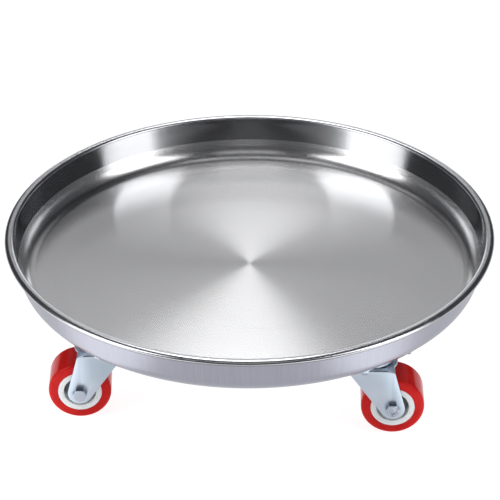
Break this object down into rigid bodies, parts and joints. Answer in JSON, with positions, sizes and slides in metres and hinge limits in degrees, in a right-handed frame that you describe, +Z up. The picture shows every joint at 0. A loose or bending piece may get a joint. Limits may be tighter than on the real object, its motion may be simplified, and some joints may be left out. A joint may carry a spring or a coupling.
{
  "type": "plant pot caddy",
  "caption": "Round steel tray with a rolled rim on swivel casters, for standing and rolling a heavy plant pot.",
  "frame": {"origin": "floor level on the tray's axis, midway between the four casters", "axes": "+Z up; +X to the right and -Y to the front, with the casters on the diagonals"},
  "size_m": [0.4, 0.3998, 0.1121],
  "materials": {
    "stainless": "brushed floor, polished rim",
    "zinc": "blue-white zinc plate, satin",
    "bolt_zinc": "bright zinc plate",
    "ball_steel": "polished bearing steel",
    "core_plastic": "moulded white nylon",
    "red_tread": "glossy cast polyurethane"
  },
  "bodies": {
    "root": {"tray": "stainless", "weld_studs": "zinc", "washers": "zinc", "plate_nuts": "zinc", "top_plate_front_left": "zinc", "king_pin_front_left": "zinc", "race_cap_front_left": "zinc", "top_plate_front_right": "zinc", "king_pin_front_right": "zinc", "race_cap_front_right": "zinc", "top_plate_rear_right": "zinc", "king_pin_rear_right": "zinc", "race_cap_rear_right": "zinc", "top_plate_rear_left": "zinc", "king_pin_rear_left": "zinc", "race_cap_rear_left": "zinc"},
    "caster_front_left": {"fork_front_left": "zinc", "upper_balls_front_left": "ball_steel", "lower_balls_front_left": "ball_steel", "axle_bolt_front_left": "bolt_zinc", "axle_nut_front_left": "bolt_zinc", "axle_sleeve_front_left": "zinc", "bearing_inner_rings_front_left": "ball_steel"},
    "wheel_front_left": {"bearing_outer_rings_front_left": "ball_steel", "wheel_core_front_left": "core_plastic", "tread_front_left": "red_tread"},
    "caster_front_right": {"fork_front_right": "zinc", "upper_balls_front_right": "ball_steel", "lower_balls_front_right": "ball_steel", "axle_bolt_front_right": "bolt_zinc", "axle_nut_front_right": "bolt_zinc", "axle_sleeve_front_right": "zinc", "bearing_inner_rings_front_right": "ball_steel"},
    "wheel_front_right": {"bearing_outer_rings_front_right": "ball_steel", "wheel_core_front_right": "core_plastic", "tread_front_right": "red_tread"},
    "caster_rear_right": {"fork_rear_right": "zinc", "upper_balls_rear_right": "ball_steel", "lower_balls_rear_right": "ball_steel", "axle_bolt_rear_right": "bolt_zinc", "axle_nut_rear_right": "bolt_zinc", "axle_sleeve_rear_right": "zinc", "bearing_inner_rings_rear_right": "ball_steel"},
    "wheel_rear_right": {"bearing_outer_rings_rear_right": "ball_steel", "wheel_core_rear_right": "core_plastic", "tread_rear_right": "red_tread"},
    "caster_rear_left": {"fork_rear_left": "zinc", "upper_balls_rear_left": "ball_steel", "lower_balls_rear_left": "ball_steel", "axle_bolt_rear_left": "bolt_zinc", "axle_nut_rear_left": "bolt_zinc", "axle_sleeve_rear_left": "zinc", "bearing_inner_rings_rear_left": "ball_steel"},
    "wheel_rear_left": {"bearing_outer_rings_rear_left": "ball_steel", "wheel_core_rear_left": "core_plastic", "tread_rear_left": "red_tread"}
  },
  "joints": [
    {"name": "swivel_front_left", "type": "hinge", "parent": "root", "child": "caster_front_left", "pos_m": [-0.10783, -0.10783, 0], "axis": [0, 0, 1], "continuous": true},
    {"name": "roll_front_left", "type": "hinge", "parent": "caster_front_left", "child": "wheel_front_left", "pos_m": [-0.12469, -0.11005, 0.025], "axis": [0.1305, -0.9914, 0], "continuous": true},
    {"name": "swivel_front_right", "type": "hinge", "parent": "root", "child": "caster_front_right", "pos_m": [0.10783, -0.10783, 0], "axis": [0, 0, 1], "continuous": true},
    {"name": "roll_front_right", "type": "hinge", "parent": "caster_front_right", "child": "wheel_front_right", "pos_m": [0.12478, -0.1065, 0.025], "axis": [-0.0785, 0.9969, 0], "continuous": true},
    {"name": "swivel_rear_right", "type": "hinge", "parent": "root", "child": "caster_rear_right", "pos_m": [0.10783, 0.10783, 0], "axis": [0, 0, 1], "continuous": true},
    {"name": "roll_rear_right", "type": "hinge", "parent": "caster_rear_right", "child": "wheel_rear_right", "pos_m": [0.12381, 0.11365, 0.025], "axis": [-0.342, 0.9397, 0], "continuous": true},
    {"name": "swivel_rear_left", "type": "hinge", "parent": "root", "child": "caster_rear_left", "pos_m": [-0.10783, 0.10783, 0], "axis": [0, 0, 1], "continuous": true},
    {"name": "roll_rear_left", "type": "hinge", "parent": "caster_rear_left", "child": "wheel_rear_left", "pos_m": [-0.1236, 0.1142, 0.025], "axis": [-0.3746, -0.9272, 0], "continuous": true}
  ]
}
